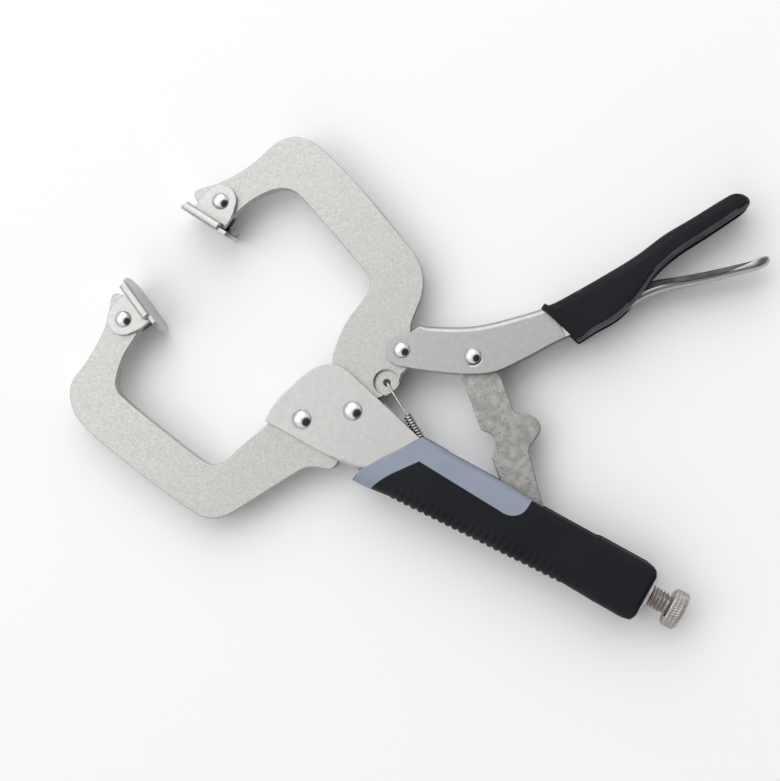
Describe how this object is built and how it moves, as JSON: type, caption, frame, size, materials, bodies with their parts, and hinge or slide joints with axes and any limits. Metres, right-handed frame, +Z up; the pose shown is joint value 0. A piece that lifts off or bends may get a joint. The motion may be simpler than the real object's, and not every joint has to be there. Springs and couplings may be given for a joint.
{
  "type": "locking c-clamp pliers",
  "caption": "Locking C-clamp pliers with deep curved jaws, swivel pads, toggle linkage, adjusting screw and cushioned grips, shown open and lying flat.",
  "frame": {"origin": "centre of the bounding box in X and Y, on the surface that the tool lies on", "axes": "+X along the fixed handle towards the adjusting knob, +Y from the fixed handle towards the moving jaw and the lever, +Z up, at right angles to the flat side of the tool"},
  "size_m": [0.28, 0.229, 0.0234],
  "materials": {
    "jaw_steel": "satin nickel plate, fine pitting",
    "sheet_steel": "satin nickel plate, smooth",
    "rivet_steel": "polished domes",
    "link_steel": "dull zinc, rough",
    "screw_steel": "brownish nickel",
    "spring_steel": "bright drawn wire",
    "grip_black": "matte",
    "grip_blue": "matte"
  },
  "bodies": {
    "frame": {"frame_channel": "sheet_steel", "fixed_jaw": "jaw_steel", "fixed_jaw_rivet": "rivet_steel", "jaw_pivot_rivet": "rivet_steel", "fixed_grip": "grip_black", "fixed_grip_inlay": "grip_blue", "return_spring": "spring_steel"},
    "moving_jaw": {"moving_jaw": "jaw_steel"},
    "lever": {"lever_handle": "sheet_steel", "lever_grip": "grip_black", "handle_pivot_rivet": "rivet_steel", "link_pivot_rivet": "rivet_steel", "release_lever_pin": "rivet_steel"},
    "link": {"toggle_link": "link_steel"},
    "release": {"release_lever": "sheet_steel"},
    "upper_rivet": {"upper_pad_rivet": "rivet_steel"},
    "upper_pad": {"upper_swivel_pad": "sheet_steel"},
    "lower_rivet": {"lower_pad_rivet": "rivet_steel"},
    "lower_pad": {"lower_swivel_pad": "sheet_steel"},
    "screw": {"adjusting_screw": "screw_steel"},
    "knob": {"screw_knob": "screw_steel"}
  },
  "joints": [
    {"name": "jaw_pivot", "type": "hinge", "parent": "frame", "child": "moving_jaw", "pos_m": [-0.02175, -0.04266, 0.0117], "axis": [0, 0, 1], "range_deg": [0, 22.9], "deforming": ["return_spring"]},
    {"name": "handle_pivot", "type": "hinge", "parent": "moving_jaw", "child": "lever", "pos_m": [-0.01575, -0.00986, 0.0117], "axis": [0, 0, -1], "range_deg": [0, 67.8]},
    {"name": "link_pivot", "type": "hinge", "parent": "lever", "child": "link", "pos_m": [0.01235, 0.00214, 0.0117], "axis": [0, 0, 1], "range_deg": [0, 63.6]},
    {"name": "release_pivot", "type": "hinge", "parent": "lever", "child": "release", "pos_m": [0.05075, 0.04934, 0.0117], "axis": [0, 0, -1], "range_deg": [-14, 0]},
    {"name": "upper_pad_turn", "type": "hinge", "parent": "moving_jaw", "child": "upper_rivet", "pos_m": [-0.11655, 0.00964, 0.0117], "axis": [0, 0, -1], "range_deg": [0, 20.6]},
    {"name": "upper_pad_swivel", "type": "hinge", "parent": "upper_rivet", "child": "upper_pad", "pos_m": [-0.11655, 0.00964, 0.0117], "axis": [0, 0, 1], "range_deg": [-20, 4]},
    {"name": "lower_pad_turn", "type": "hinge", "parent": "frame", "child": "lower_rivet", "pos_m": [-0.13005, -0.05566, 0.0117], "axis": [0, 0, 1], "range_deg": [0, 23.4]},
    {"name": "lower_pad_swivel", "type": "hinge", "parent": "lower_rivet", "child": "lower_pad", "pos_m": [-0.13005, -0.05566, 0.0117], "axis": [0, 0, 1], "range_deg": [-20, 4]},
    {"name": "screw_travel", "type": "slide", "parent": "frame", "child": "screw", "axis": [1, 0, 0], "range_m": [0, 0.015]},
    {"name": "knob_turn", "type": "hinge", "parent": "screw", "child": "knob", "pos_m": [0.13305, -0.05086, 0.0117], "axis": [1, 0, 0], "range_deg": [-3601, 0]}
  ],
  "couplings": [
    {"joint": "jaw_pivot", "follows": "handle_pivot", "ratio": 0.33628},
    {"joint": "link_pivot", "follows": "handle_pivot", "ratio": 0.93658},
    {"joint": "upper_pad_turn", "follows": "handle_pivot", "ratio": 0.30236},
    {"joint": "lower_pad_turn", "follows": "handle_pivot", "ratio": 0.34366},
    {"joint": "knob_turn", "follows": "screw_travel", "rad_per_m": -4188.8}
  ]
}
